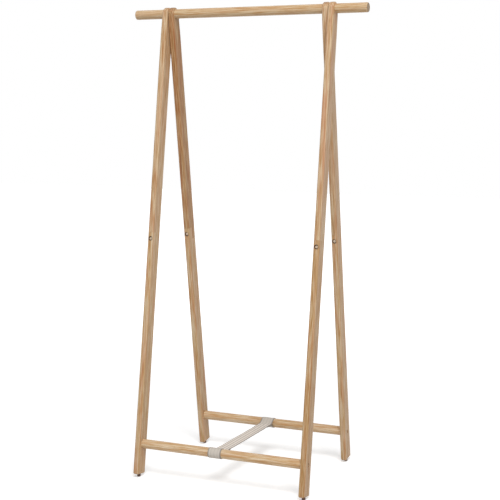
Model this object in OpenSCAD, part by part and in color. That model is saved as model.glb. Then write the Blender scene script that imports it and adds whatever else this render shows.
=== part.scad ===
// Folding A-frame clothes rack: a front and a rear leg frame that turn on one hanging bar.
// Sizes are in millimetres. The origin is on the floor in the middle of the footprint,
// +X runs along the bar, +Y to the rear and +Z up.
// A leg is drawn in its own frame: the bar's axis is its origin and the leg runs straight
// down along -Z, so a "drop" is a distance down the leg from the bar's axis. It is then
// turned out by the tilt of its frame.

/* [Hanging bar] */
// Length of the bar
bar_len = 800; // [640:1:1200]
// Diameter of the bar
bar_d = 30; // [24:0.5:34]
// Rounding of the bar's end edges
bar_edge_r = 3; // [1:0.5:6]

/* [Frames] */
// Height of the bar's axis above the floor with the rack open
bar_axis_z = 1485.5; // [1100:0.5:1800]
// Width across the outer faces of the front legs
frame_w = 592; // [420:1:620]
// Angle of each frame from upright with the rack open, in degrees
leg_tilt = 8.45; // [6:0.05:14]
// Gap between an outer leg and the inner leg beside it
leg_gap = 0.6; // [0.3:0.1:3]
// Distance between the stretchers' axes with the rack folded
folded_gap = 39.2; // [38.8:0.1:60]

/* [Legs] */
// Width of a leg, along the bar
leg_w = 20; // [18:0.5:30]
// Depth of a leg round the bar, which is the diameter of its round top
leg_top_depth = 41; // [40.5:0.5:56]
// Depth of a leg at its shoulder, where the round top has widened into the straight leg
leg_shoulder_depth = 46; // [41:0.5:56]
// Drop from the bar's axis to the shoulder
shoulder_drop = 70; // [40:1:200]
// Depth of a leg at the joint of its two halves
leg_joint_depth = 45; // [34:0.5:50]
// Depth of a leg at its foot
leg_foot_depth = 47; // [36:0.5:48]
// Rounding of the long edges, the rim of the top and the edges of the foot
leg_edge_r = 5; // [2:0.5:7]

/* [Joint of the leg halves] */
// Drop from the bar's axis to the joint bolt
joint_drop = 732; // [400:1:850]
// Length of the half lap
lap_len = 40; // [30:1:80]
// Depth of the small bevel along the visible ends of the lap
seam_bevel = 0.6; // [0.2:0.1:1.5]
// Diameter of the bolt's shank
joint_bolt_d = 6; // [5:0.5:8]
// Length of the bolt's shank
joint_bolt_len = 29; // [25:0.5:32]
// Diameter of the bolt's head
joint_head_d = 9.5; // [8:0.5:13]
// Diameter of the nut's head
nut_head_d = 13; // [11:0.5:14]
// Height of the bolt's head and of the nut's head
joint_head_h = 3.2; // [2.6:0.1:3.6]
// Diameter of the recess that takes a head
joint_recess_d = 14.5; // [14.2:0.1:17]
// Depth of the recess that takes a head
joint_recess_depth = 5.5; // [3.7:0.1:7]
// Diameter of the nut's sleeve
nut_sleeve_d = 9; // [8.5:0.5:10]
// Length of the nut's sleeve
nut_sleeve_len = 17; // [13:0.5:19]
// Size across the flats of the hexagon sockets
hex_flats = 4; // [3:0.5:5]
// Depth of the hexagon sockets
hex_depth = 2; // [1:0.1:2.4]

/* [Stretchers] */
// Height of both stretchers' axes above the floor
stretcher_z = 105.5; // [60:0.5:200]
// Diameter of a stretcher
stretcher_d = 30; // [22:0.5:31]
// Depth of the socket in a leg that a stretcher's end sits in
socket_depth = 4; // [2:0.5:5]
// Diameter of the stretcher bolt's shank
side_bolt_d = 6; // [5:0.5:7]
// Diameter of the stretcher bolt's head
side_head_d = 10; // [9:0.5:10.4]
// Height of the stretcher bolt's head
side_head_h = 6; // [4:0.5:6.5]
// Diameter of the recess that takes that head
side_recess_d = 11; // [10.6:0.1:14]
// Depth of the recess that takes that head
side_recess_depth = 8; // [6.6:0.1:10]
// Outer diameter of the threaded insert in a stretcher's end
insert_d = 10; // [9:0.5:14]
// Length of the threaded insert
insert_len = 15; // [12:0.5:25]
// Length of the bolt's thread inside the insert
thread_grip = 13; // [8:0.5:14]

/* [Bar screws] */
// Diameter of the screw that fixes the bar in an outer leg
bar_screw_d = 4; // [3:0.5:5]
// Length of that screw, head included
bar_screw_len = 25; // [18:0.5:32]
// Diameter of its countersunk head
bar_screw_head_d = 8; // [6.5:0.5:9]
// How far its head lies below the leg's surface
bar_screw_sink = 0.6; // [0.4:0.1:1.5]

/* [Strap] */
// Width of the webbing
strap_w = 45; // [25:1:80]
// Thickness of the webbing
strap_t = 1.8; // [1:0.1:2.4]
// Place along the bar of the strap's middle on the front stretcher
strap_front_x = -16; // [-150:1:150]
// Place along the bar of the strap's middle on the rear stretcher
strap_rear_x = -12; // [-150:1:150]
// Distance from a stretcher's axis to where the loop's two layers meet
loop_reach = 26; // [22:1:70]
// Length over which the two layers are sewn together
sewn_len = 36; // [20:1:60]

/* [Glides] */
// Diameter of a glide where it meets the foot
glide_d = 11.5; // [10.5:0.5:18]
// Diameter of a glide's flat bottom
glide_flat_d = 10; // [6:0.5:11]
// Height of a glide in its middle
glide_h = 9; // [6:0.5:12]
// Diameter of the nail that holds a glide
nail_d = 2.4; // [1.6:0.2:3.4]
// Length of the nail above the glide
nail_len = 18; // [10:1:30]
// Diameter of the nail's head
nail_head_d = 5; // [4.5:0.5:7]
// Height of the nail's head
nail_head_h = 1.2; // [0.8:0.1:1.4]
// How far the nail's head lies above the floor
nail_head_sink = 1.4; // [0.6:0.1:1.5]

/* [Fits] */
// Gap all round a round piece that is fixed in its hole
fit_gap = 0.05; // [0.02:0.01:0.2]
// Gap all round the bar in the legs that turn on it
turn_gap = 0.1; // [0.05:0.01:0.3]

/* [Hidden] */

// Facets of a true round face, of a hull's round corners and of its round top
round_fn = 96;
corner_fn = 32;
top_fn = 64;
// Steps in the rounding of a turned edge
edge_steps = 6;
// How far a cutter runs past the face that it cuts
over = 1;

upper_wood = "burlywood";
lower_wood = "peru";
steel = "silver";
webbing = "gainsboro";
glide_brown = "saddlebrown";

// Middles of the outer and of the inner legs along the bar
outer_x = frame_w / 2 - leg_w / 2;
inner_x = outer_x - leg_w - leg_gap;
front_tilt = -leg_tilt;
rear_tilt = leg_tilt;

top_r = leg_top_depth / 2;
lap_top_drop = joint_drop - lap_len / 2;
lap_end_drop = joint_drop + lap_len / 2;
stretcher_drop = (bar_axis_z - stretcher_z) / cos(leg_tilt);
stretcher_y = (bar_axis_z - stretcher_z) * tan(leg_tilt);

// How far the rear frame swings before the stretchers stand folded_gap apart, in degrees
fold_angle = 2 * leg_tilt - 2 * asin(folded_gap / 2 / stretcher_drop);

// Faces of the joint, measured from the leg's middle plane towards its front and rear
joint_floor = leg_joint_depth / 2 - joint_recess_depth;

// Wall between the stretcher's socket and the head's recess
side_wall = leg_w - socket_depth - side_recess_depth;

// The webbing's middle surface round a stretcher, and the angle at which it leaves
strap_in_r = stretcher_d / 2 + fit_gap;
strap_mid_r = strap_in_r + strap_t / 2;
strap_out_r = strap_in_r + strap_t;
meet_dist = norm([loop_reach, strap_t / 2]);
leave_angle = atan2(strap_t / 2, loop_reach) + acos(strap_mid_r / meet_dist);

// Drop of the foot's end, which is square to the leg, and the place of its middle, on the glide
foot_drop = (bar_axis_z - glide_h) / cos(leg_tilt);
foot_y = foot_drop * sin(leg_tilt);

// Side of the bar on which a frame with this tilt stands: -1 in front and 1 at the rear
function side_of(tilt) = tilt > 0 ? 1 : -1;

// Points (r, z) of a quarter circle that rounds the outer corner of a turned profile
function turned_edge(r, z, edge) = [
    for (i = [0:edge_steps])
        let (a = 90 * i / edge_steps)
        [r - edge + edge * cos(a), z - edge + edge * sin(a)]
];

// The same corner at the other end of the profile, from the end face to the side
function turned_edge_below(r, z, edge) = [
    for (i = [0:edge_steps])
        let (a = 90 * (1 - i / edge_steps))
        [r - edge + edge * cos(a), -z + edge - edge * sin(a)]
];

// Puts its children, drawn in a leg's frame, at the place x along the bar
module in_leg_frame(x, tilt) {
    translate([x, 0, bar_axis_z])
        rotate([tilt, 0, 0])
            children();
}

// Turns what is drawn along +Z so that it runs along +Y, to the rear
module facing_rear() {
    rotate([-90, 0, 0])
        children();
}

// Turns what is drawn along +Z so that it runs along +X for side 1 and along -X for side -1
module facing_side(side) {
    rotate([0, 90 * side, 0])
        children();
}

// Hexagon socket sunk by hex_depth into a face at the height z
module hex_socket(z) {
    translate([0, 0, z - hex_depth])
        cylinder(d = hex_flats / cos(30), h = hex_depth + over, $fn = 6);
}

// Four corner rounds of a leg's section, from the drop top down to the drop end
module corner_posts(depth, top, end) {
    for (sx = [-1, 1], sy = [-1, 1])
        translate([sx * (leg_w / 2 - leg_edge_r), sy * (depth / 2 - leg_edge_r), -end])
            cylinder(r = leg_edge_r, h = end - top, $fn = corner_fn);
}

// Round top of a leg: a disc on the bar's axis with a rounded rim
module round_top() {
    rotate([0, 90, 0])
        for (s = [-1, 1])
            rotate_extrude($fn = top_fn)
                translate([top_r - leg_edge_r, s * (leg_w / 2 - leg_edge_r)])
                    circle(r = leg_edge_r, $fn = corner_fn / 2);
}

// Four balls that round the corners of the foot
module foot_balls() {
    in_x = leg_w / 2 - leg_edge_r;
    in_y = leg_foot_depth / 2 - leg_edge_r;
    for (sx = [-1, 1], sy = [-1, 1])
        translate([sx * in_x, sy * in_y, leg_edge_r - foot_drop])
            sphere(r = leg_edge_r, $fn = corner_fn);
}

// Cuts the front half (side -1) or the rear half (side 1) off the lap's stretch
module lap_cut(side) {
    depth = leg_joint_depth + over;
    translate([-leg_w, side > 0 ? 0 : -depth, -lap_end_drop - over])
        cube([2 * leg_w, depth, lap_len + over]);
}

// The same for the lower leg, whose stretch is open upwards
module lap_cut_up(side) {
    translate([0, 0, over])
        lap_cut(side);
}

// Shallow bevels along the lap's visible ends, at the front above and at the rear below
module seam_bevels() {
    side = seam_bevel * sqrt(2);
    for (seam = [[-1, lap_top_drop], [1, lap_end_drop]])
        translate([0, seam[0] * leg_joint_depth / 2, -seam[1]])
            rotate([45, 0, 0])
                cube([leg_w + over, side, side], center = true);
}

// Bores and recesses for the joint's bolt and nut, through the leg from front to rear
module joint_bores() {
    cut_depth = joint_recess_depth + over;
    translate([0, 0, -joint_drop]) {
        facing_rear()
            cylinder(d = joint_bolt_d + 2 * fit_gap, h = leg_joint_depth, center = true, $fn = round_fn);
        translate([0, joint_floor - nut_sleeve_len, 0])
            facing_rear()
                cylinder(d = nut_sleeve_d + 2 * fit_gap, h = nut_sleeve_len + over, $fn = round_fn);
        for (side = [-1, 1])
            translate([0, side * (joint_floor + cut_depth / 2), 0])
                facing_rear()
                    cylinder(d = joint_recess_d, h = cut_depth, center = true, $fn = round_fn);
    }
}

// Countersunk hole for the screw that comes from the rear and fixes the bar
module bar_screw_hole(gap) {
    head_d = bar_screw_head_d + 2 * gap;
    facing_rear() {
        translate([0, 0, top_r - bar_screw_sink - bar_screw_len])
            cylinder(d = bar_screw_d + 2 * gap, h = bar_screw_len, $fn = round_fn);
        translate([0, 0, top_r - bar_screw_sink - bar_screw_head_d / 2])
            cylinder(d1 = 0, d2 = head_d, h = head_d / 2, $fn = round_fn);
        translate([0, 0, top_r - bar_screw_sink])
            cylinder(d = head_d, h = bar_screw_sink + over, $fn = round_fn);
    }
}

module bar_screw() {
    facing_rear() {
        difference() {
            union() {
                translate([0, 0, top_r - bar_screw_sink - bar_screw_len])
                    cylinder(d = bar_screw_d, h = bar_screw_len, $fn = round_fn);
                translate([0, 0, top_r - bar_screw_sink - bar_screw_head_d / 2])
                    cylinder(d1 = 0, d2 = bar_screw_head_d, h = bar_screw_head_d / 2, $fn = round_fn);
            }
            for (turn = [0, 90])
                rotate([0, 0, turn])
                    translate([0, 0, top_r - bar_screw_sink])
                        cube([bar_screw_d, bar_screw_d / 5, bar_screw_d / 2], center = true);
        }
    }
}

// Upper half of a leg, with the bar's bore, and the screw's hole where the bar is fixed
module upper_leg(bar_gap, fixed) {
    difference() {
        hull() {
            round_top();
            corner_posts(leg_shoulder_depth, shoulder_drop, shoulder_drop + leg_edge_r);
            corner_posts(leg_joint_depth, lap_top_drop, lap_end_drop);
        }
        facing_side(1)
            cylinder(d = bar_d + 2 * bar_gap, h = leg_w + 2 * over, center = true, $fn = round_fn);
        lap_cut(-1);
        joint_bores();
        seam_bevels();
        if (fixed)
            bar_screw_hole(fit_gap);
    }
}

// Lower half of a leg, whose outer face, on the side given, has the stretcher bolt's recess
module lower_leg(side, tilt) {
    difference() {
        hull() {
            corner_posts(leg_joint_depth, lap_top_drop, lap_end_drop);
            foot_balls();
        }
        lap_cut_up(1);
        joint_bores();
        seam_bevels();
        translate([0, 0, -stretcher_drop])
            facing_side(side)
                side_bolt_cuts();
        nail_hole(tilt);
    }
}

// Socket, bolt hole and head recess for a stretcher, along +Z from the leg's middle outwards
module side_bolt_cuts() {
    translate([0, 0, -leg_w / 2 - over])
        cylinder(d = stretcher_d + 2 * fit_gap, h = socket_depth + over, $fn = round_fn);
    cylinder(d = side_bolt_d + 2 * fit_gap, h = leg_w + over, center = true, $fn = round_fn);
    translate([0, 0, leg_w / 2 - side_recess_depth])
        cylinder(d = side_recess_d, h = side_recess_depth + over, $fn = round_fn);
}

// Hole for the glide's nail, drawn in the leg's frame but upright on the floor
module nail_hole(tilt) {
    rotate([-tilt, 0, 0])
        translate([0, side_of(tilt) * foot_y, glide_h - bar_axis_z - over])
            cylinder(d = nail_d + 2 * fit_gap, h = nail_len + over, $fn = corner_fn);
}

// Stretcher between the two sockets of its frame, whose legs stand at the middle leg_x
module stretcher(leg_x, y) {
    length = 2 * (leg_x - leg_w / 2 + socket_depth);
    translate([0, y, stretcher_z])
        difference() {
            facing_side(1)
                cylinder(d = stretcher_d, h = length, center = true, $fn = round_fn);
            for (side = [-1, 1])
                translate([side * (length / 2 - insert_len), 0, 0])
                    facing_side(side)
                        cylinder(d = insert_d + 2 * fit_gap, h = insert_len + over, $fn = round_fn);
        }
}

// Threaded inserts in a stretcher's two ends
module stretcher_inserts(leg_x, y) {
    socket_floor = leg_x - leg_w / 2 + socket_depth;
    for (side = [-1, 1])
        translate([side * (socket_floor - insert_len), y, stretcher_z])
            facing_side(side)
                difference() {
                    cylinder(d = insert_d, h = insert_len, $fn = round_fn);
                    translate([0, 0, -over])
                        cylinder(d = side_bolt_d + 2 * fit_gap, h = insert_len + 2 * over, $fn = round_fn);
                }
}

// Bolts that come from the outer faces of a frame's legs into its stretcher
module stretcher_bolts(leg_x, y) {
    head_seat = leg_x + leg_w / 2 - side_recess_depth;
    for (side = [-1, 1])
        translate([side * head_seat, y, stretcher_z])
            facing_side(side)
                difference() {
                    union() {
                        cylinder(d = side_head_d, h = side_head_h, $fn = round_fn);
                        translate([0, 0, -side_wall - thread_grip])
                            cylinder(d = side_bolt_d, h = side_wall + thread_grip + over, $fn = round_fn);
                    }
                    hex_socket(side_head_h);
                }
}

// Bolt of the joint of two leg halves: a domed head at the front and a shank to the rear
module joint_bolt() {
    dome = joint_head_h / 2;
    translate([0, -joint_floor, -joint_drop])
        facing_rear()
            difference() {
                union() {
                    rotate_extrude($fn = round_fn)
                        polygon(concat(
                            [[0, -joint_head_h]],
                            turned_edge_below(joint_head_d / 2, joint_head_h, dome),
                            [[joint_head_d / 2, 0], [0, 0]]
                        ));
                    cylinder(d = joint_bolt_d, h = joint_bolt_len, $fn = round_fn);
                }
                mirror([0, 0, 1])
                    hex_socket(joint_head_h);
            }
}

// Sleeve nut of that joint, let in from the rear
module joint_nut() {
    translate([0, joint_floor, -joint_drop])
        facing_rear()
            difference() {
                union() {
                    cylinder(d = nut_head_d, h = joint_head_h, $fn = round_fn);
                    translate([0, 0, -nut_sleeve_len])
                        cylinder(d = nut_sleeve_d, h = nut_sleeve_len + over, $fn = round_fn);
                }
                translate([0, 0, -nut_sleeve_len - over])
                    cylinder(d = joint_bolt_d + 2 * fit_gap, h = nut_sleeve_len + over, $fn = round_fn);
                hex_socket(joint_head_h);
            }
}

// Glide under a foot: a turned button, level below and slanted like the foot above, with a
// hole for its nail
module glide(x, tilt) {
    slope = (glide_d - glide_flat_d) / 2;
    high = glide_h + glide_d / 2;
    nail_head_top = nail_head_sink + nail_head_h;
    translate([x, side_of(tilt) * foot_y, 0])
        difference() {
            rotate_extrude($fn = round_fn)
                polygon([
                    [0, 0], [glide_flat_d / 2, 0], [glide_d / 2, slope], [glide_d / 2, high], [0, high]
                ]);
            translate([0, 0, glide_h])
                rotate([tilt, 0, 0])
                    translate([-glide_d, -glide_d, 0])
                        cube(2 * glide_d);
            translate([0, 0, -over])
                cylinder(d = nail_d + 2 * fit_gap, h = high + 2 * over, $fn = corner_fn);
            translate([0, 0, -over])
                cylinder(d = nail_head_d + 2 * fit_gap, h = over + nail_head_top, $fn = corner_fn);
        }
}

module glide_nail(x, tilt) {
    translate([x, side_of(tilt) * foot_y, nail_head_sink]) {
        cylinder(d = nail_head_d, h = nail_head_h, $fn = corner_fn);
        cylinder(d = nail_d, h = glide_h + nail_len - nail_head_sink, $fn = corner_fn);
    }
}

// Draws a side view of (y, z) points as a solid along the bar, of the width w round x
module side_view(x, w) {
    translate([x - w / 2, 0, 0])
        rotate([90, 0, 90])
            linear_extrude(height = w)
                children();
}

// Side view of the webbing that goes round a stretcher and opens towards the other one,
// to the rear for side 1 and to the front for side -1
module loop_view(side) {
    reach = 3 * strap_out_r;
    open_y = side * reach * cos(leave_angle);
    open_z = reach * sin(leave_angle);
    difference() {
        circle(r = strap_out_r, $fn = round_fn);
        circle(r = strap_in_r, $fn = round_fn);
        polygon([[0, 0], [open_y, -open_z], [side * reach, 0], [open_y, open_z]]);
    }
}

// Side view of one end of the span: two layers that leave the loop, meet and are sewn
module sewn_end_view(side) {
    leave = [cos(leave_angle), sin(leave_angle)] * strap_mid_r;
    meet = [loop_reach, strap_t / 2];
    for (s = [-1, 1]) {
        // Half of the thickness, turned so that every outline runs the same way round
        n = side * s * [cos(leave_angle), sin(leave_angle)] * strap_t / 2;
        polygon([for (p = [leave - n, meet - n, meet + n, leave + n]) [side * p[0], s * p[1]]]);
    }
    tail_y = side * (loop_reach + (sewn_len - strap_t) / 2);
    translate([tail_y, 0])
        square([sewn_len + strap_t, 2 * strap_t], center = true);
}

// Webbing round one stretcher
module strap_loop(x, side) {
    side_view(x, strap_w)
        translate([-side * stretcher_y, stretcher_z])
            loop_view(side);
}

module hanging_bar() {
    color(upper_wood)
        translate([0, 0, bar_axis_z])
            difference() {
                facing_side(1)
                    rotate_extrude($fn = round_fn)
                        polygon(concat(
                            [[0, -bar_len / 2]],
                            turned_edge_below(bar_d / 2, bar_len / 2, bar_edge_r),
                            turned_edge(bar_d / 2, bar_len / 2, bar_edge_r),
                            [[0, bar_len / 2]]
                        ));
                for (side = [-1, 1])
                    translate([side * outer_x, 0, 0])
                        rotate([front_tilt, 0, 0])
                            bar_screw_hole(fit_gap);
            }
}

module bar_screws() {
    color(steel)
        for (side = [-1, 1])
            in_leg_frame(side * outer_x, front_tilt)
                bar_screw();
}

module front_left_upper_leg() {
    color(upper_wood)
        in_leg_frame(-outer_x, front_tilt)
            upper_leg(fit_gap, true);
}

module front_right_upper_leg() {
    color(upper_wood)
        in_leg_frame(outer_x, front_tilt)
            upper_leg(fit_gap, true);
}

module rear_left_upper_leg() {
    color(upper_wood)
        in_leg_frame(-inner_x, rear_tilt)
            upper_leg(turn_gap, false);
}

module rear_right_upper_leg() {
    color(upper_wood)
        in_leg_frame(inner_x, rear_tilt)
            upper_leg(turn_gap, false);
}

module front_left_lower_leg() {
    color(lower_wood)
        in_leg_frame(-outer_x, front_tilt)
            lower_leg(-1, front_tilt);
}

module front_right_lower_leg() {
    color(lower_wood)
        in_leg_frame(outer_x, front_tilt)
            lower_leg(1, front_tilt);
}

module rear_left_lower_leg() {
    color(lower_wood)
        in_leg_frame(-inner_x, rear_tilt)
            lower_leg(-1, rear_tilt);
}

module rear_right_lower_leg() {
    color(lower_wood)
        in_leg_frame(inner_x, rear_tilt)
            lower_leg(1, rear_tilt);
}

module front_stretcher() {
    color(lower_wood)
        stretcher(outer_x, -stretcher_y);
}

module rear_stretcher() {
    color(lower_wood)
        stretcher(inner_x, stretcher_y);
}

module front_leg_bolts() {
    color(steel)
        for (side = [-1, 1])
            in_leg_frame(side * outer_x, front_tilt)
                joint_bolt();
}

module rear_leg_bolts() {
    color(steel)
        for (side = [-1, 1])
            in_leg_frame(side * inner_x, rear_tilt)
                joint_bolt();
}

module front_leg_nuts() {
    color(steel)
        for (side = [-1, 1])
            in_leg_frame(side * outer_x, front_tilt)
                joint_nut();
}

module rear_leg_nuts() {
    color(steel)
        for (side = [-1, 1])
            in_leg_frame(side * inner_x, rear_tilt)
                joint_nut();
}

module front_stretcher_bolts() {
    color(steel)
        stretcher_bolts(outer_x, -stretcher_y);
}

module rear_stretcher_bolts() {
    color(steel)
        stretcher_bolts(inner_x, stretcher_y);
}

module front_stretcher_inserts() {
    color(steel)
        stretcher_inserts(outer_x, -stretcher_y);
}

module rear_stretcher_inserts() {
    color(steel)
        stretcher_inserts(inner_x, stretcher_y);
}

module front_left_glide() {
    color(glide_brown)
        glide(-outer_x, front_tilt);
}

module front_right_glide() {
    color(glide_brown)
        glide(outer_x, front_tilt);
}

module rear_left_glide() {
    color(glide_brown)
        glide(-inner_x, rear_tilt);
}

module rear_right_glide() {
    color(glide_brown)
        glide(inner_x, rear_tilt);
}

module front_glide_nails() {
    color(steel)
        for (side = [-1, 1])
            glide_nail(side * outer_x, front_tilt);
}

module rear_glide_nails() {
    color(steel)
        for (side = [-1, 1])
            glide_nail(side * inner_x, rear_tilt);
}

module front_strap_loop() {
    color(webbing)
        strap_loop(strap_front_x, 1);
}

module rear_strap_loop() {
    color(webbing)
        strap_loop(strap_rear_x, -1);
}

// Free length of the webbing, cut to the slant between its places on the two stretchers
module strap_span() {
    color(webbing)
        intersection() {
            side_view((strap_front_x + strap_rear_x) / 2, strap_w + abs(strap_front_x - strap_rear_x))
                translate([0, stretcher_z]) {
                    for (side = [-1, 1])
                        translate([-side * stretcher_y, 0])
                            sewn_end_view(side);
                    square([2 * (stretcher_y - loop_reach), strap_t], center = true);
                }
            linear_extrude(height = 2 * stretcher_z)
                polygon([
                    [strap_front_x - strap_w / 2, -stretcher_y],
                    [strap_front_x + strap_w / 2, -stretcher_y],
                    [strap_rear_x + strap_w / 2, stretcher_y],
                    [strap_rear_x - strap_w / 2, stretcher_y]
                ]);
        }
}

hanging_bar();
bar_screws();
front_left_upper_leg();
front_right_upper_leg();
front_left_lower_leg();
front_right_lower_leg();
rear_left_upper_leg();
rear_right_upper_leg();
rear_left_lower_leg();
rear_right_lower_leg();
front_stretcher();
rear_stretcher();
front_leg_bolts();
rear_leg_bolts();
front_leg_nuts();
rear_leg_nuts();
front_stretcher_bolts();
rear_stretcher_bolts();
front_stretcher_inserts();
rear_stretcher_inserts();
front_left_glide();
front_right_glide();
rear_left_glide();
rear_right_glide();
front_glide_nails();
rear_glide_nails();
front_strap_loop();
strap_span();
rear_strap_loop();
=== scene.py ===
"""Dresses a folding clothes rack: lacquered wood, zinc-plated fastenings, webbing and a studio."""
import logging
import math
from collections.abc import Mapping, Sequence
from dataclasses import dataclass, field
from enum import Enum

import bpy
import numpy as np
from mathutils import Matrix, Vector


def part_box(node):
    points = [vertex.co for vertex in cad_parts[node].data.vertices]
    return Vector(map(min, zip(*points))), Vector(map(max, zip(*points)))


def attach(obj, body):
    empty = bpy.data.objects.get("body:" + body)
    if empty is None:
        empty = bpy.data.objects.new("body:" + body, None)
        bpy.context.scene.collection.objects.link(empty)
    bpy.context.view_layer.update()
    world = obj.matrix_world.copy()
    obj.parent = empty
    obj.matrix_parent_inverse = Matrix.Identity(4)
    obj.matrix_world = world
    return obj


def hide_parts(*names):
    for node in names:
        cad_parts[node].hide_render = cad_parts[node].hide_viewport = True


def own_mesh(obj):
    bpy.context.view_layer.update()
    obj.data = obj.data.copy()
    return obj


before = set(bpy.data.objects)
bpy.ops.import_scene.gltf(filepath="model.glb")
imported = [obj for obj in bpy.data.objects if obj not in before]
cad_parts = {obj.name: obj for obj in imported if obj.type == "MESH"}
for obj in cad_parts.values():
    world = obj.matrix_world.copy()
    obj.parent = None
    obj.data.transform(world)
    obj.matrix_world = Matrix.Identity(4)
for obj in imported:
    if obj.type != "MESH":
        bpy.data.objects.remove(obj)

log = logging.getLogger("clothes_rack")

Tree = bpy.types.NodeTree
Socket = bpy.types.NodeSocket
Material = bpy.types.Material
NodeInput = Socket | float | Sequence[float]
Point = tuple[float, float, float]

# A millimetre in metres, and how many there are in a metre
MILLIMETRE = 0.001
PER_METRE = 1000
# Edges where two faces turn by more than this are drawn sharp
SHARP_OVER_DEG = 50.0
# Name of the UV map that holds the place across and along the webbing, in metres
WEBBING_UV = "webbing"


class Body(Enum):
    """The two bodies that the rack folds in."""

    FRONT = "front_frame"
    REAR = "rear_frame"


class GrainRun(Enum):
    """Way in which the wood's fibres run, as the turn in degrees that brings +Z onto it."""

    ALONG_BAR = (0.0, 90.0, 0.0)
    DOWN_FRONT_LEG = (-8.45, 0.0, 0.0)
    DOWN_REAR_LEG = (8.45, 0.0, 0.0)


def linear(hex_colour: str) -> tuple[float, float, float, float]:
    """Turns an sRGB hex colour to linear light.

    Args:
        hex_colour: The colour as "#RRGGBB".

    Returns:
        Linear red, green, blue and an alpha of 1.
    """
    srgb = np.array([int(hex_colour[i:i + 2], 16) for i in (1, 3, 5)]) / 255
    channels = np.where(srgb <= 0.04045, srgb / 12.92, ((srgb + 0.055) / 1.055) ** 2.4)
    return (*channels.tolist(), 1.0)


def add_node(
    tree: Tree,
    kind: str,
    inputs: Mapping[str | int, NodeInput] | None = None,
    stops: Sequence[tuple[float, str]] = (),
    **settings: object,
) -> bpy.types.Node:
    """Adds one node with its settings and links.

    Args:
        tree: The material's or world's node tree.
        kind: Blender's name for the node type.
        inputs: A socket to link, or a value to set, for each input's name or number.
        stops: Places and hex colours, for a colour ramp.
        **settings: The node's own properties.

    Returns:
        The new node.
    """
    node = tree.nodes.new(kind)
    for name, value in settings.items():
        setattr(node, name, value)
    for key, value in (inputs or {}).items():
        if isinstance(value, Socket):
            tree.links.new(value, node.inputs[key])
        else:
            node.inputs[key].default_value = value
    for i, (place, colour) in enumerate(stops):
        element = node.color_ramp.elements[i] if i < 2 else node.color_ramp.elements.new(place)
        element.position = place
        element.color = linear(colour)
    return node


def new_material(name: str) -> tuple[Material, Tree, Socket]:
    """Starts a material with an empty node tree.

    Args:
        name: The material's name.

    Returns:
        The material, its tree and the surface input of its output node.
    """
    material = bpy.data.materials.new(name)
    material.use_nodes = True
    material.node_tree.nodes.clear()
    output = add_node(material.node_tree, "ShaderNodeOutputMaterial")
    return material, material.node_tree, output.inputs["Surface"]


def layered(tree: Tree, under: NodeInput, layers: Sequence[tuple[Socket, str]]) -> Socket:
    """Lays colours over one another, each as far as its share goes.

    Args:
        tree: The material's tree.
        under: The lowest colour.
        layers: Each further colour, from below: its share from 0 to 1 and its hex value.

    Returns:
        The colour that shows.
    """
    for share, colour in layers:
        under = add_node(tree, "ShaderNodeMix", {
            0: share, 6: under, 7: linear(colour),
        }, data_type="RGBA").outputs[2]
    return under


def seen_directly(tree: Tree) -> Socket:
    """Adds a switch: 1 for what the camera, a gloss or a clear surface sees, 0 for fill light.

    Args:
        tree: The tree of the floor's material or of the world.

    Returns:
        The switch's value.
    """
    ray = add_node(tree, "ShaderNodeLightPath").outputs
    gloss = add_node(tree, "ShaderNodeMath", {
        0: ray["Is Camera Ray"], 1: ray["Is Glossy Ray"],
    }, operation="MAXIMUM").outputs[0]
    return add_node(tree, "ShaderNodeMath", {
        0: gloss, 1: ray["Is Transmission Ray"],
    }, operation="MAXIMUM").outputs[0]


def dress(piece: bpy.types.Object, material: Material) -> None:
    """Gives a piece one material, in place of any that it has."""
    piece.data.materials.clear()
    piece.data.materials.append(material)


@dataclass(frozen=True)
class Board:
    """Where in the log one piece of wood was cut, and what its surface shows.

    Attributes:
        run: Way in which its fibres run.
        pith: A point in metres on the line that the growth rings turn round.
        lean: Degrees by which that line leans off the fibres' way.
        warmth: Share of honey-coloured wood, from 0 to 1.
        blush: Share of pinkish wood, from 0 to 1.
        vein: Strength of the brown veins, from 0 to 1.
        depth: Gamma of its colour: over 1 for deeper, more orange wood than its neighbours.
        scar: Middle of one strong brown streak, in metres.
        bore: Middle of the floor of its joint bolt's recess, in metres, round which a dark painted
            shade lies.
    """

    run: GrainRun
    pith: Point
    lean: tuple[float, float] = (0.6, -0.4)
    warmth: float = 0.5
    blush: float = 0.35
    vein: float = 0.35
    depth: float = 1.0
    scar: Point | None = None
    bore: Point | None = None


@dataclass(frozen=True)
class Drawn:
    """A blot's size in millimetres across and along the fibres, and its octaves of detail."""

    across_mm: float
    along_mm: float
    octaves: float = 2.0


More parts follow.
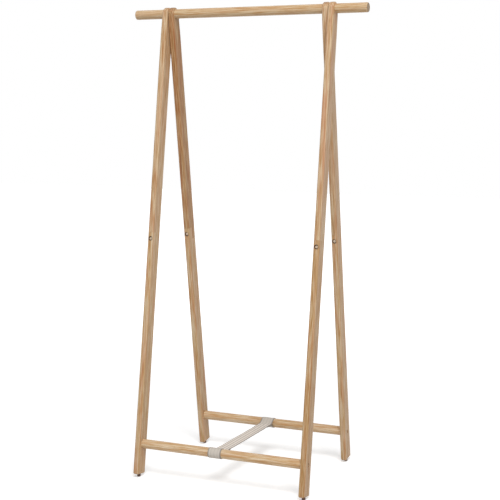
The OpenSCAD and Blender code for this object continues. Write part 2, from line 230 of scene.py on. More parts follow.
@dataclass(frozen=True)
class LacqueredRubberwood:
    """Rubberwood, planed, sanded and finished with a clear satin lacquer.

    A pale straight-grained hardwood: tan with honey and pinkish streaks a few millimetres wide,
    soft growth zones, short dark vessel lines and a duller end grain under a thin film. Inside the
    recesses of the joint bolts a dark brown is painted as shade.

    Attributes:
        pale, tan, honey: The wood itself, from its lightest zones to its darkest.
        rose: Pinkish wood.
        umber: Veins, vessels and scars.
        end_grain: Wood cut across its fibres.
        recess_painted_shade: Dark brown painted shade inside the recesses of the joint bolts.
        streak, fleck, fibre, vessel, broad, vein, blush: Sizes of the grain's patterns.
        wander: Size of the waves in a growth zone's edge.
        zone_mm: Width of a growth zone.
        zone_wander: How far a zone's edge strays, in metres.
        zone_rise: Power by which a zone darkens towards its edge.
        zone_crest: Share of a zone's width at which it is darkest.
        tone_shift: What brings the sum of the patterns to the middle of the wood's colours.
        warmth_gain: How far a board's warmth moves its tone.
        scar_size: Half sizes of a scar in metres, the last one along the fibres.
        recess_shade_from: Radius in metres round the recess's floor within which the painted shade
            is full.
        recess_shade_to: Radius at which the painted shade ends, just below the recess's rim.
        vessel_share, scar_share, end_grain_share, recess_shade_share: How far each covers the wood
        where it is strongest; the last is the recess's painted shade.
        roughness: Roughness of the lacquer, before the grain breaks it.
        relief_mm: Height of the grain under the lacquer.
    """

    pale: str = "#CBB392"
    tan: str = "#B6956E"
    honey: str = "#A47646"
    rose: str = "#BB8060"
    umber: str = "#7A4A26"
    end_grain: str = "#8A6446"
    # Painted shade inside the joint bolts' recesses
    recess_painted_shade: str = "#5A3418"
    streak: Drawn = Drawn(7.5, 380.0, 3.0)
    fleck: Drawn = Drawn(3.4, 95.0)
    # Real fibres are far under 0.1 mm wide, drawn as lines of 2 mm so that they show
    fibre: Drawn = Drawn(2.0, 60.0)
    # Real vessels are about 0.2 mm wide, drawn at 0.45 mm so that they show
    vessel: Drawn = Drawn(0.45, 9.0, 1.0)
    broad: Drawn = Drawn(34.0, 520.0)
    vein: Drawn = Drawn(4.6, 260.0)
    blush: Drawn = Drawn(4.0, 150.0, 1.0)
    wander: Drawn = Drawn(30.0, 300.0)
    zone_mm: float = 4.4
    zone_wander: float = 0.012
    zone_rise: float = 2.4
    zone_crest: float = 0.9
    tone_shift: float = -0.25
    warmth_gain: float = 0.14
    scar_size: Point = (0.0035, 0.009, 0.075)
    # Reach of the painted shade round a recess's floor
    recess_shade_from: float = 0.0072
    recess_shade_to: float = 0.0088
    vessel_share: float = 0.4
    scar_share: float = 0.75
    end_grain_share: float = 0.65
    recess_shade_share: float = 0.85
    roughness: float = 0.46
    relief_mm: float = 0.12

    def material(self, name: str, board: Board) -> Material:
        """Makes the finish for one piece.

        The growth zones are cylinders round the pith line, so a face shows them as long bands
        that drift apart slowly. Streaks, fibres and vessels are noises drawn out along the fibres.

        Args:
            name: The piece's name.
            board: Where in the log the piece was cut.

        Returns:
            The finished material.
        """
        material, tree, surface = new_material("rubberwood_lacquered_" + name)
        place = add_node(tree, "ShaderNodeTexCoord")
        turn = [math.radians(a + b) for a, b in zip(board.run.value, (*board.lean, 0.0))]
        grain = add_node(tree, "ShaderNodeMapping", {
            "Vector": place.outputs["Object"], "Location": board.pith, "Rotation": turn,
        }, vector_type="TEXTURE").outputs[0]

        streak, fleck, fibre, broad = (
            self._along(tree, grain, size)
            for size in (self.streak, self.fleck, self.fibre, self.broad)
        )
        zone = self._zones(tree, grain)

        # The noises are about 0.5 in the middle, so the shift brings their sum to the ramp's tan
        mixed = self._sum(tree, (
            (streak, 0.2), (broad, 0.06), (zone, 0.1), (fleck, 0.5), (fibre, 0.8),
        ))
        shift = self.warmth_gain * (board.warmth - 0.5) + self.tone_shift
        tone = add_node(tree, "ShaderNodeMath", {0: mixed, 1: shift}, operation="ADD").outputs[0]
        wood = add_node(tree, "ShaderNodeValToRGB", {"Fac": tone}, stops=(
            (0.44, self.pale), (0.58, self.tan), (0.72, self.honey),
        )).outputs["Color"]

        # Each shows where its noise is high: nothing below the first value, all above the second
        blush, vein, pores = (
            add_node(tree, "ShaderNodeMapRange", {
                "Value": self._along(tree, grain, size),
                "From Min": low, "From Max": high, "To Min": 0.0, "To Max": strength,
            }, interpolation_type="SMOOTHSTEP").outputs[0]
            for size, low, high, strength in (
                (self.blush, 0.46, 0.62, board.blush),
                (self.vein, 0.6, 0.74, board.vein),
                (self.vessel, 0.63, 0.72, self.vessel_share),
            )
        )
        wood = layered(tree, wood, (
            (blush, self.rose), (vein, self.umber), (pores, self.umber),
        ))
        wood = add_node(tree, "ShaderNodeGamma", {"Color": wood, "Gamma": board.depth}).outputs[0]

        marks = [(self._end_grain(tree, place.outputs["Normal"], board), self.end_grain)]
        if board.scar is not None:
            marks.insert(0, (self._scar(tree, place.outputs["Object"], board), self.umber))
        # Painted shade inside the bolt's recess, dark brown round its floor
        if board.bore is not None:
            marks.append((self._recess_shade_mask(tree, place.outputs["Object"], board), self.recess_painted_shade))
        wood = layered(tree, wood, marks)

        # Half of these weights comes off again, as the noises are 0.5 on average
        sheen_break = self._sum(tree, ((fibre, 0.10), (streak, 0.06)))
        roughness = add_node(tree, "ShaderNodeMath", {
            0: sheen_break, 1: self.roughness - 0.08,
        }, operation="ADD").outputs[0]
        relief = self._sum(tree, ((fibre, 0.7), (zone, 0.3), (pores, -1.0)))
        bump = add_node(tree, "ShaderNodeBump", {
            "Height": relief, "Strength": 0.35, "Distance": self.relief_mm * MILLIMETRE,
        }).outputs[0]
        shader = add_node(tree, "ShaderNodeBsdfPrincipled", {
            "Base Color": wood, "Roughness": roughness, "Normal": bump,
            "IOR": 1.5, "Specular IOR Level": 0.3, "Coat Weight": 0.06, "Coat Roughness": 0.35,
        })
        tree.links.new(shader.outputs[0], surface)
        return material

    def _along(self, tree: Tree, grain: Socket, size: Drawn) -> Socket:
        """Adds a noise drawn out along the fibres.

        Args:
            tree: The material's tree.
            grain: Coordinates with the fibres along Z.
            size: Size of its blots.

        Returns:
            The noise's value, about 0.3 to 0.7.
        """
        across, along = PER_METRE / size.across_mm, PER_METRE / size.along_mm
        drawn = add_node(tree, "ShaderNodeVectorMath", {
            0: grain, 1: (across, across, along),
        }, operation="MULTIPLY")
        noise = add_node(tree, "ShaderNodeTexNoise", {
            "Vector": drawn.outputs[0], "Scale": 1.0, "Detail": size.octaves, "Roughness": 0.55,
        })
        return noise.outputs["Fac"]

    def _zones(self, tree: Tree, grain: Socket) -> Socket:
        """Adds growth zones: the distance from the pith over a zone's width, less the whole part.

        Args:
            tree: The material's tree.
            grain: Coordinates with the fibres along Z and the pith at the middle.

        Returns:
            A value that rises slowly over each zone and falls fast at its end.
        """
        flat = add_node(tree, "ShaderNodeVectorMath", {
            0: grain, 1: (1.0, 1.0, 0.0),
        }, operation="MULTIPLY")
        radius = add_node(tree, "ShaderNodeVectorMath", {0: flat.outputs[0]}, operation="LENGTH")
        wander = self._along(tree, grain, self.wander)
        reach = add_node(tree, "ShaderNodeMath", {
            0: wander, 1: self.zone_wander, 2: radius.outputs["Value"],
        }, operation="MULTIPLY_ADD")
        count = add_node(tree, "ShaderNodeMath", {
            0: reach.outputs[0], 1: PER_METRE / self.zone_mm,
        }, operation="MULTIPLY")
        part = add_node(tree, "ShaderNodeMath", {0: count.outputs[0]}, operation="FRACT")
        rise = add_node(tree, "ShaderNodeMath", {
            0: part.outputs[0], 1: self.zone_rise,
        }, operation="POWER")
        fall = add_node(tree, "ShaderNodeMapRange", {
            "Value": part.outputs[0],
            "From Min": self.zone_crest, "From Max": 1.0, "To Min": 1.0, "To Max": 0.0,
        })
        return add_node(tree, "ShaderNodeMath", {
            0: rise.outputs[0], 1: fall.outputs[0],
        }, operation="MULTIPLY").outputs[0]

    def _scar(self, tree: Tree, place: Socket, board: Board) -> Socket:
        """Adds one strong streak: a long drop round a point, thinned towards its ends.

        Args:
            tree: The material's tree.
            place: Object coordinates.
            board: The piece's board, with the streak's middle.

        Returns:
            How far the streak covers the wood: 0 off it.
        """
        local = add_node(tree, "ShaderNodeMapping", {
            "Vector": place, "Location": board.scar, "Scale": self.scar_size,
            "Rotation": [math.radians(a) for a in board.run.value],
        }, vector_type="TEXTURE")
        away = add_node(tree, "ShaderNodeVectorMath", {0: local.outputs[0]}, operation="LENGTH")
        return add_node(tree, "ShaderNodeMapRange", {
            "Value": away.outputs["Value"],
            "From Min": 0.25, "From Max": 1.0, "To Min": self.scar_share, "To Max": 0.0,
        }, interpolation_type="SMOOTHSTEP").outputs[0]

    def _recess_shade_mask(self, tree: Tree, place: Socket, board: Board) -> Socket:
        """Adds a mask of painted shade inside a bolt's recess: a ball round its floor, up to its
        rim.

        Args:
            tree: The material's tree.
            place: Object coordinates.
            board: The piece's board, with the middle of the recess's floor.

        Returns:
            How far the painted shade covers the wood: 0 outside the recess.
        """
        away = add_node(tree, "ShaderNodeVectorMath", {
            0: place, 1: board.bore,
        }, operation="DISTANCE")
        return add_node(tree, "ShaderNodeMapRange", {
            "Value": away.outputs["Value"], "From Min": self.recess_shade_from,
            "From Max": self.recess_shade_to, "To Min": self.recess_shade_share, "To Max": 0.0,
        }).outputs[0]

    def _end_grain(self, tree: Tree, normal: Socket, board: Board) -> Socket:
        """Adds a mask of the faces that cut across the fibres: the normal's share along them.

        Args:
            tree: The material's tree.
            normal: The surface's normal in the piece's own frame.
            board: The piece's board.

        Returns:
            How far the end grain's colour covers the wood: 0 on the long faces.
        """
        turn = Matrix.Identity(3)
        for axis, angle in zip("XYZ", board.run.value):
            turn = Matrix.Rotation(math.radians(angle), 3, axis) @ turn
        way = turn @ Vector((0.0, 0.0, 1.0))
        share = add_node(tree, "ShaderNodeVectorMath", {0: normal, 1: way}, operation="DOT_PRODUCT")
        size = add_node(tree, "ShaderNodeMath", {0: share.outputs["Value"]}, operation="ABSOLUTE")
        return add_node(tree, "ShaderNodeMapRange", {
            "Value": size.outputs[0],
            "From Min": 0.55, "From Max": 0.95, "To Min": 0.0, "To Max": self.end_grain_share,
        }, interpolation_type="SMOOTHSTEP").outputs[0]

    def _sum(self, tree: Tree, parts: Sequence[tuple[Socket, float]]) -> Socket:
        """Adds up patterns, each with its weight.

        Args:
            tree: The material's tree.
            parts: Each pattern and its weight.

        Returns:
            The weighted sum.
        """
        total: NodeInput = 0.0
        for value, weight in parts:
            total = add_node(tree, "ShaderNodeMath", {
                0: value, 1: weight, 2: total,
            }, operation="MULTIPLY_ADD").outputs[0]
        return total


@dataclass(frozen=True)
class ZincPlatedSteel:
    """Cold-headed steel with a thin bright zinc coat.

    A pale, slightly warm grey metal with faint cloudy patches and fine turning marks, satin
    rather than mirror-bright.

    Attributes:
        bright, clouded: Colours of the clear zinc and of its cloudy patches.
        cloud_mm: Size of a patch.
        turning_mm: Spacing of the turning marks.
        relief_mm: Height of the turning marks.
        roughness: Roughness of the zinc, before the patches break it.
    """

    bright: str = "#D8C7B2"
    clouded: str = "#AE9A84"
    cloud_mm: float = 1.6
    # Real turning marks are 0.05 mm apart, drawn at 0.25 mm so that they show
    turning_mm: float = 0.25
    relief_mm: float = 0.02
    roughness: float = 0.3

    def material(self) -> Material:
        """Makes the finish.

        Returns:
            The finished material.
        """
        material, tree, surface = new_material("steel_zinc_plated")
        place = add_node(tree, "ShaderNodeTexCoord").outputs["Object"]
        cloud = add_node(tree, "ShaderNodeTexNoise", {
            "Vector": place, "Scale": PER_METRE / self.cloud_mm, "Detail": 3.0,
        }).outputs["Fac"]
        colour = add_node(tree, "ShaderNodeValToRGB", {"Fac": cloud}, stops=(
            (0.35, self.clouded), (0.65, self.bright),
        )).outputs["Color"]
        roughness = add_node(tree, "ShaderNodeMapRange", {
            "Value": cloud, "To Min": self.roughness + 0.12, "To Max": self.roughness - 0.06,
        }).outputs[0]
        marks = add_node(tree, "ShaderNodeTexNoise", {
            "Vector": place, "Scale": PER_METRE / self.turning_mm,
        }).outputs["Fac"]
        bump = add_node(tree, "ShaderNodeBump", {
            "Height": marks, "Strength": 0.2, "Distance": self.relief_mm * MILLIMETRE,
        }).outputs[0]
        shader = add_node(tree, "ShaderNodeBsdfPrincipled", {
            "Base Color": colour, "Metallic": 1.0, "Roughness": roughness, "Normal": bump,
        })
        tree.links.new(shader.outputs[0], surface)
        return material


@dataclass(frozen=True)
class MouldedPolyethylene:
    """Dark brown polyethylene, moulded with a fine matt grain and scuffed by the floor.

    Attributes:
        brown, scuffed: Colours of the moulded skin and of its scuffs.
        scuffs_per_metre: How many scuffs lie in a metre.
        grain_mm, relief_mm: Size of the mould's grain, and its height.
        roughness: Roughness of the skin, before the scuffs break it.
    """

    brown: str = "#5A3A2A"
    scuffed: str = "#7A6050"
    scuffs_per_metre: float = 600.0
    grain_mm: float = 0.3
    relief_mm: float = 0.03
    roughness: float = 0.5

    def material(self) -> Material:
        """Makes the finish.

        Returns:
            The finished material.
        """
        material, tree, surface = new_material("polyethylene_moulded_brown")
        place = add_node(tree, "ShaderNodeTexCoord").outputs["Object"]
        scuff = add_node(tree, "ShaderNodeTexNoise", {
            "Vector": place, "Scale": self.scuffs_per_metre, "Detail": 4.0, "Roughness": 0.65,
        }).outputs["Fac"]
        colour = add_node(tree, "ShaderNodeValToRGB", {"Fac": scuff}, stops=(
            (0.45, self.brown), (0.72, self.scuffed),
        )).outputs["Color"]
        roughness = add_node(tree, "ShaderNodeMapRange", {
            "Value": scuff, "To Min": self.roughness - 0.1, "To Max": self.roughness + 0.15,
        }).outputs[0]
        grain = add_node(tree, "ShaderNodeTexNoise", {
            "Vector": place, "Scale": PER_METRE / self.grain_mm,
        }).outputs["Fac"]
        bump = add_node(tree, "ShaderNodeBump", {
            "Height": grain, "Strength": 0.4, "Distance": self.relief_mm * MILLIMETRE,
        }).outputs[0]
        shader = add_node(tree, "ShaderNodeBsdfPrincipled", {
            "Base Color": colour, "Roughness": roughness, "Normal": bump, "IOR": 1.51,
        })
        tree.links.new(shader.outputs[0], surface)
        return material


@dataclass(frozen=True)
class CottonWebbing:
    """Undyed cotton webbing, woven flat with lengthwise ribs and a firm selvedge.

    A soft grey-beige: the warp lies in ribs, the weft shows as fine crosswise lines between them,
    the edges are darker and denser, and a short nap gives a faint sheen. The grooves between the
    ribs are painted darker, as shade. Where it is pulled hard round wood it is flattened and its
    ribs hardly show, and there it is painted greyer and darker, as shade on the wraps that turn
    away from the light from above.

    Attributes:
        yarn, shaded_yarn: Colours of the yarn on a rib's back and between two picks.
        groove_painted_shade, groove_shade_share: Painted shade between the ribs, and how far it
            covers
        the yarn.
        selvedge, selvedge_share: Colour of the edge, and how far it covers the yarn.
        selvedge_from, selvedge_to: Where the edge starts and is full, in metres from the border.
        pressed_painted_shade, pressed_shade_share: Colour of the flattened cloth, a greyer painted
        shade,
            and how far it covers the ribs.
        pressed_shade_from, pressed_shade_to: Where the flattening and its painted shade start and
            are full, in metres from the rack's middle.
        pick_mm, yarn_mm: Spacing of the crosswise and of the lengthwise yarns.
        slubs_per_metre: Thick spots in the yarn, across and along the webbing.
        pick_depth, slub_depth: How far the picks and the slubs move the tone.
        relief_mm: Height of the weave.
    """

    yarn: str = "#F2E8DD"
    shaded_yarn: str = "#E0D6CB"
    # Painted shade in the grooves between the ribs
    groove_painted_shade: str = "#8F877E"
    groove_shade_share: float = 0.65
    selvedge: str = "#7F7770"
    selvedge_share: float = 0.75
    selvedge_from: float = 0.0055
    selvedge_to: float = 0.0015
    # Painted shade on the flattened cloth round and near the stretchers
    pressed_painted_shade: str = "#C2BAB0"
    pressed_shade_share: float = 0.85
    pressed_shade_from: float = 0.160
    pressed_shade_to: float = 0.186
    # Real picks are 1 mm apart, drawn at 3 mm so that they show in the render
    pick_mm: float = 3.0
    yarn_mm: float = 1.0
    slubs_per_metre: Point = (700.0, 90.0, 1.0)
    pick_depth: float = 0.16
    slub_depth: float = 0.6
    relief_mm: float = 0.15

    def material(self, width: float, ribs: int) -> Material:
        """Makes the finish, which follows the piece's own UV map in metres, across and along.

        Args:
            width: The webbing's width in metres.
            ribs: Its number of lengthwise ribs.

        Returns:
            The finished material.
        """
        material, tree, surface = new_material("cotton_webbing_woven")
        place = add_node(tree, "ShaderNodeUVMap", uv_map=WEBBING_UV).outputs[0]
        parts = add_node(tree, "ShaderNodeSeparateXYZ", {0: place})
        across, along = parts.outputs[0], parts.outputs[1]

        # Grooves, painted as shade between the ribs: the cosine of the place across, as many turns
        # as there are ribs
        rib_turn = add_node(tree, "ShaderNodeMath", {
            0: across, 1: math.tau * ribs / width,
        }, operation="MULTIPLY").outputs[0]
        rib = add_node(tree, "ShaderNodeMath", {0: rib_turn}, operation="COSINE").outputs[0]
        groove_painted_shade = add_node(tree, "ShaderNodeMapRange", {
            "Value": rib,
            "From Min": 0.3, "From Max": 1.0, "To Min": 0.0, "To Max": self.groove_shade_share,
        }, interpolation_type="SMOOTHSTEP").outputs[0]

        # Weave: the sines of the places along and across, and their product
        pick, yarn = (
            add_node(tree, "ShaderNodeMath", {
                0: add_node(tree, "ShaderNodeMath", {
                    0: way, 1: math.tau * PER_METRE / spacing_mm,
                }, operation="MULTIPLY").outputs[0],
            }, operation="SINE").outputs[0]
            for way, spacing_mm in ((along, self.pick_mm), (across, self.yarn_mm))
        )
        weave = add_node(tree, "ShaderNodeMath", {
            0: pick, 1: yarn,
        }, operation="MULTIPLY").outputs[0]
        shade = add_node(tree, "ShaderNodeMath", {
            0: pick, 1: self.pick_depth, 2: 0.5,
        }, operation="MULTIPLY_ADD").outputs[0]
        slub = add_node(tree, "ShaderNodeTexNoise", {
            "Vector": add_node(tree, "ShaderNodeVectorMath", {
                0: place, 1: self.slubs_per_metre,
            }, operation="MULTIPLY").outputs[0], "Scale": 1.0, "Detail": 3.0,
        }).outputs["Fac"]
        tone = add_node(tree, "ShaderNodeMath", {
            0: slub, 1: self.slub_depth, 2: shade,
        }, operation="MULTIPLY_ADD").outputs[0]
        shaded = add_node(tree, "ShaderNodeMapRange", {
            "Value": tone, "From Min": 0.55, "From Max": 1.05, "To Min": 0.0, "To Max": 1.0,
        }).outputs[0]

        # Flattened near the stretchers, and painted greyer there as shade: how far the place is
        # from the rack's middle
        depth = add_node(tree, "ShaderNodeSeparateXYZ", {
            0: add_node(tree, "ShaderNodeTexCoord").outputs["Object"],
        }).outputs[1]
        off_centre = add_node(tree, "ShaderNodeMath", {
            0: depth,
        }, operation="ABSOLUTE").outputs[0]
        pressed_painted_shade = add_node(tree, "ShaderNodeMapRange", {
            "Value": off_centre, "From Min": self.pressed_shade_from, "From Max": self.pressed_shade_to,
            "To Min": 0.0, "To Max": self.pressed_shade_share,
        }, interpolation_type="SMOOTHSTEP").outputs[0]

        # Selvedge: how far the place is from the webbing's own middle
        from_middle = add_node(tree, "ShaderNodeMath", {
            0: across, 1: -width / 2,
        }, operation="ADD").outputs[0]
        off_middle = add_node(tree, "ShaderNodeMath", {
            0: from_middle,
        }, operation="ABSOLUTE").outputs[0]
        edge = add_node(tree, "ShaderNodeMapRange", {
            "Value": off_middle, "From Min": width / 2 - self.selvedge_from,
            "From Max": width / 2 - self.selvedge_to,
            "To Min": 0.0, "To Max": self.selvedge_share,
        }, interpolation_type="SMOOTHSTEP").outputs[0]

        # Over the yarn: the painted shade of the grooves and of the flattened cloth, then the
        # selvedge
        colour = layered(tree, linear(self.yarn), (
            (shaded, self.shaded_yarn), (groove_painted_shade, self.groove_painted_shade),
            (pressed_painted_shade, self.pressed_painted_shade), (edge, self.selvedge),
        ))
        height = add_node(tree, "ShaderNodeMath", {
            0: weave, 1: 0.5, 2: slub,
        }, operation="MULTIPLY_ADD").outputs[0]
        bump = add_node(tree, "ShaderNodeBump", {
            "Height": height, "Strength": 0.6, "Distance": self.relief_mm * MILLIMETRE,
        }).outputs[0]
        shader = add_node(tree, "ShaderNodeBsdfPrincipled", {
            "Base Color": colour, "Roughness": 0.9, "Normal": bump, "Sheen Weight": 0.06,
            "Sheen Roughness": 0.5, "Specular IOR Level": 0.25,
        })
        tree.links.new(shader.outputs[0], surface)
        return material


@dataclass(frozen=True)
class SewingThread:
    """Twisted polyester thread, a little lighter and shinier than the webbing.

    Attributes:
        colour, furrow_painted_shade: Colours of the strands, and of the painted shade in the
            furrows
        between them.
        twist_mm, relief_mm: Spacing of the furrows, and their depth.
    """

    colour: str = "#E2DAD0"
    # Painted shade in the furrows between the strands
    furrow_painted_shade: str = "#B9AFA6"
    twist_mm: float = 0.5
    relief_mm: float = 0.05

    def material(self) -> Material:
        """Makes the finish.

        Returns:
            The finished material.
        """
        material, tree, surface = new_material("polyester_thread_twisted")
        place = add_node(tree, "ShaderNodeTexCoord").outputs["Object"]
        twist = add_node(tree, "ShaderNodeTexWave", {
            "Vector": place, "Scale": PER_METRE / self.twist_mm / math.tau, "Distortion": 1.5,
        }, wave_type="BANDS", bands_direction="DIAGONAL").outputs["Fac"]
        colour = add_node(tree, "ShaderNodeValToRGB", {"Fac": twist}, stops=(
            (0.0, self.furrow_painted_shade), (0.6, self.colour),
        )).outputs["Color"]
        bump = add_node(tree, "ShaderNodeBump", {
            "Height": twist, "Strength": 0.5, "Distance": self.relief_mm * MILLIMETRE,
        }).outputs[0]
        shader = add_node(tree, "ShaderNodeBsdfPrincipled", {
            "Base Color": colour, "Roughness": 0.55, "Normal": bump, "Sheen Weight": 0.15,
        })
        tree.links.new(shader.outputs[0], surface)
        return material


@dataclass(frozen=True)
class StudioFloor:
    """Seamless matt white paper, which keeps the shadows and looks as white as the background.

    Attributes:
        paper, fibre: Colours of the paper and of its fibres.
        fibres_per_metre: How many fibres lie in a metre.
        lift, far_lift: Strength of its own light near the rack and far from it.
        near, far: Where the one strength ends and the other is full, in metres.
    """

    paper: str = "#EFEFEF"
    fibre: str = "#F4F4F4"
    fibres_per_metre: float = 40.0
    lift: float = 0.42
    far_lift: float = 0.9
    near: float = 1.0
    far: float = 3.0

    def material(self) -> Material:
        """Makes the finish: the paper, with a little light that only what looks at it sees.

        Returns:
            The finished material.
        """
        material, tree, surface = new_material("paper_matt_white")
        seen = seen_directly(tree)
        place = add_node(tree, "ShaderNodeTexCoord").outputs["Object"]
        away = add_node(tree, "ShaderNodeVectorMath", {0: place}, operation="LENGTH")
        lift = add_node(tree, "ShaderNodeMapRange", {
            "Value": away.outputs["Value"], "From Min": self.near, "From Max": self.far,
            "To Min": self.lift, "To Max": self.far_lift,
        }).outputs[0]
        strength = add_node(tree, "ShaderNodeMath", {
            0: seen, 1: lift,
        }, operation="MULTIPLY").outputs[0]
        fibres = add_node(tree, "ShaderNodeTexNoise", {
            "Vector": place, "Scale": self.fibres_per_metre, "Detail": 3.0,
        }).outputs["Fac"]
        colour = add_node(tree, "ShaderNodeValToRGB", {"Fac": fibres}, stops=(
            (0.3, self.paper), (0.7, self.fibre),
        )).outputs["Color"]
        diffuse = add_node(tree, "ShaderNodeBsdfDiffuse", {"Color": colour})
        glow = add_node(tree, "ShaderNodeEmission", {"Strength": strength})
        both = add_node(tree, "ShaderNodeAddShader", {0: diffuse.outputs[0], 1: glow.outputs[0]})
        tree.links.new(both.outputs[0], surface)
        return material


def mesh_piece(
    name: str, points: np.ndarray, faces: Sequence[Sequence[int]], uv: np.ndarray | None = None,
) -> bpy.types.Object:
    """Makes a mesh object at the origin from worked-out points.

    Args:
        name: The piece's name.
        points: Places of the points in metres, one a row.
        faces: Point numbers of each face, seen from outside.
        uv: Place of each point across and along the webbing in metres, or None.

    Returns:
        The new object, with smooth faces and sharp edges where they turn far enough.
    """
    mesh = bpy.data.meshes.new(name)
    mesh.from_pydata(points.tolist(), [], faces)
    if uv is not None:
        corner = np.empty(len(mesh.loops), np.int32)
        mesh.loops.foreach_get("vertex_index", corner)
        layer = mesh.uv_layers.new(name=WEBBING_UV)
        layer.data.foreach_set("uv", uv[corner].astype(np.float32).ravel())
    mesh.polygons.foreach_set("use_smooth", np.ones(len(mesh.polygons), bool))
    mesh.set_sharp_from_angle(angle=math.radians(SHARP_OVER_DEG))
    mesh.validate()
    piece = bpy.data.objects.new(name, mesh)
    bpy.context.scene.collection.objects.link(piece)
    return piece


@dataclass
class HangingBar:
    """The round bar that the clothes hang from, fixed in the outer legs by two screws.

    Attributes:
        wood: Finish of the bar.
        board: Where in the log the bar was cut.
    """

    wood: LacqueredRubberwood
    board: Board = Board(
        GrainRun.ALONG_BAR, (0.3, 0.034, 1.4605), warmth=0.45, blush=0.15, vein=0.2,
    )

    def finish(self, steel: Material) -> None:
        """Dresses the bar and its screws.

        Args:
            steel: Finish of the screws.
        """
        dress(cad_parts["hanging_bar"], self.wood.material("hanging_bar", self.board))
        dress(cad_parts["bar_screws"], steel)
        low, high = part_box("hanging_bar")
        log.info("hanging bar: %.0f mm long", (high.x - low.x) / MILLIMETRE)


@dataclass
class LegFrame:
    """Two legs of two halves each, bolted at a half lap, with a round stretcher between them.

    Attributes:
        side: The first word of its nodes' names, front or rear.
        boards: Board of each wooden node, by the rest of its name.
        woods: Finish of the wood, by a word in that name.
        fastenings, glides: The rest of the names of its nodes of steel and of plastic.
    """

    side: str
    boards: Mapping[str, Board]
    woods: Mapping[str, LacqueredRubberwood]
    fastenings: tuple[str, ...] = (
        "leg_bolts", "leg_nuts", "stretcher_bolts", "stretcher_inserts", "glide_nails",
    )
    glides: tuple[str, ...] = ("left_glide", "right_glide")

    def finish(self, steel: Material, plastic: Material) -> None:
        """Dresses every node of the frame.

        Args:
            steel: Finish of the bolts, nuts, inserts and nails.
            plastic: Finish of the glides.
        """
        for part, board in self.boards.items():
            name = f"{self.side}_{part}"
            wood = next(wood for word, wood in self.woods.items() if word in part)
            dress(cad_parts[name], wood.material(name, board))
            log.info("%s: wood with its own grain", name)
        for material, parts in ((steel, self.fastenings), (plastic, self.glides)):
            for part in parts:
                dress(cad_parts[f"{self.side}_{part}"], material)
        log.info("%s frame: fastenings and glides", self.side)


